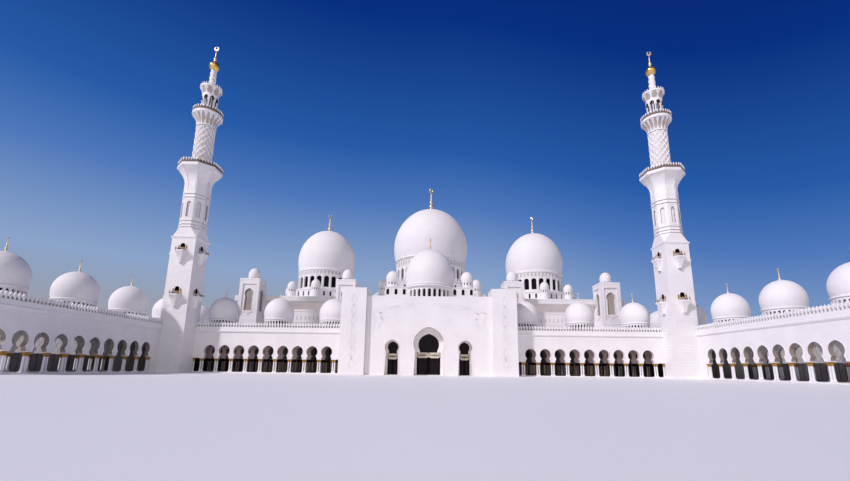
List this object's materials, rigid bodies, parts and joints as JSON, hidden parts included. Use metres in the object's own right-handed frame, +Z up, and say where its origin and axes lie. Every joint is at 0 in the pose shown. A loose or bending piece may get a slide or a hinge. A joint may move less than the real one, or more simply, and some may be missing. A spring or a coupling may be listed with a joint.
{
  "type": "scale model of a mosque building",
  "caption": "White marble mosque around an open court: domes on ringed drums, slim minarets, arched arcades, and a deep arched portal with hinged doors.",
  "frame": {"origin": "centre of the box around the model, at ground level", "axes": "+X to the right as seen from the court, +Y away from the court towards the rear wall, +Z up"},
  "size_m": [17.756, 14.8, 10.7526],
  "materials": {
    "marble": "honed",
    "gilding": "polished",
    "dark_glass": "smooth",
    "bronze": "satin"
  },
  "bodies": {
    "building": {"hall_floor": "marble", "hall_front_wall": "marble", "hall_back_wall": "marble", "hall_roof": "marble", "main_dome_base": "marble", "main_drum": "marble", "main_dome": "marble", "main_finial": "gilding", "entrance_block": "marble", "entrance_dome": "marble", "entrance_finial": "gilding", "portal_wall": "marble", "door_wall": "marble", "main_fanlight": "dark_glass", "hall_left_wall": "marble", "left_dome_base": "marble", "left_dome": "marble", "left_finial": "gilding", "portal_left_side": "marble", "left_fanlight": "dark_glass", "inner_left_tower": "marble", "outer_left_tower": "marble", "front_left_arcade": "marble", "front_left_inner_arcade": "marble", "front_left_roof": "marble", "side_left_arcade": "marble", "side_left_floor": "marble", "side_left_outer_arcade": "marble", "side_left_roof": "marble", "left_minaret_base": "marble", "left_minaret_octagon": "marble", "left_minaret_shaft": "marble", "left_minaret_lantern": "marble", "left_minaret_finial": "gilding", "hall_right_wall": "marble", "right_dome_base": "marble", "right_dome": "marble", "right_finial": "gilding", "portal_right_side": "marble", "right_fanlight": "dark_glass", "inner_right_tower": "marble", "outer_right_tower": "marble", "front_right_arcade": "marble", "front_right_inner_arcade": "marble", "front_right_roof": "marble", "side_right_arcade": "marble", "side_right_floor": "marble", "side_right_outer_arcade": "marble", "side_right_roof": "marble", "right_minaret_base": "marble", "right_minaret_octagon": "marble", "right_minaret_shaft": "marble", "right_minaret_lantern": "marble", "right_minaret_finial": "gilding"},
    "main_left_door": {"main_left_door": "bronze"},
    "main_right_door": {"main_right_door": "bronze"},
    "left_door_left_leaf": {"left_door_left_leaf": "bronze"},
    "left_door_right_leaf": {"left_door_right_leaf": "bronze"},
    "right_door_left_leaf": {"right_door_left_leaf": "bronze"},
    "right_door_right_leaf": {"right_door_right_leaf": "bronze"}
  },
  "joints": [
    {"name": "main_left_door_hinge", "type": "hinge", "parent": "building", "child": "main_left_door", "pos_m": [-0.33, -2.0727, 0.2575], "axis": [0, 0, 1], "range_deg": [0, 90]},
    {"name": "main_right_door_hinge", "type": "hinge", "parent": "building", "child": "main_right_door", "pos_m": [0.33, -2.0727, 0.2575], "axis": [0, 0, -1], "range_deg": [0, 90]},
    {"name": "left_door_left_leaf_hinge", "type": "hinge", "parent": "building", "child": "left_door_left_leaf", "pos_m": [-1.185, -2.0727, 0.2325], "axis": [0, 0, 1], "range_deg": [0, 90]},
    {"name": "left_door_right_leaf_hinge", "type": "hinge", "parent": "building", "child": "left_door_right_leaf", "pos_m": [-0.915, -2.0727, 0.2325], "axis": [0, 0, -1], "range_deg": [0, 90]},
    {"name": "right_door_left_leaf_hinge", "type": "hinge", "parent": "building", "child": "right_door_left_leaf", "pos_m": [0.915, -2.0727, 0.2325], "axis": [0, 0, 1], "range_deg": [0, 90]},
    {"name": "right_door_right_leaf_hinge", "type": "hinge", "parent": "building", "child": "right_door_right_leaf", "pos_m": [1.185, -2.0727, 0.2325], "axis": [0, 0, -1], "range_deg": [0, 90]}
  ]
}
